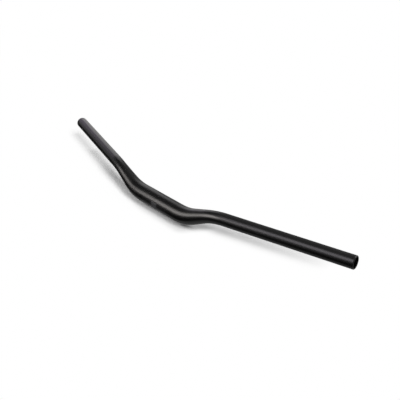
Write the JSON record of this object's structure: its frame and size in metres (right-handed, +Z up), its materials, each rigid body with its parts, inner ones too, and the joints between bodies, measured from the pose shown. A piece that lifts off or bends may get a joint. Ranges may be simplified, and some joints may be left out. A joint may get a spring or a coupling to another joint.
{
  "type": "riser handlebar",
  "caption": "Black alloy riser handlebar: a thick straight clamp section, tapered bends that climb and sweep back, and slim hollow grip ends.",
  "frame": {"origin": "middle of the clamp section, on its axis", "axes": "+X along the clamp axis to the rider's left, +Y back towards the rider, +Z up; the grips are level"},
  "size_m": [0.765, 0.0986, 0.052],
  "materials": {
    "black_anodised": "satin black, bead blasted and anodised"
  },
  "bodies": {
    "root": {"handlebar": "black_anodised"}
  },
  "joints": []
}
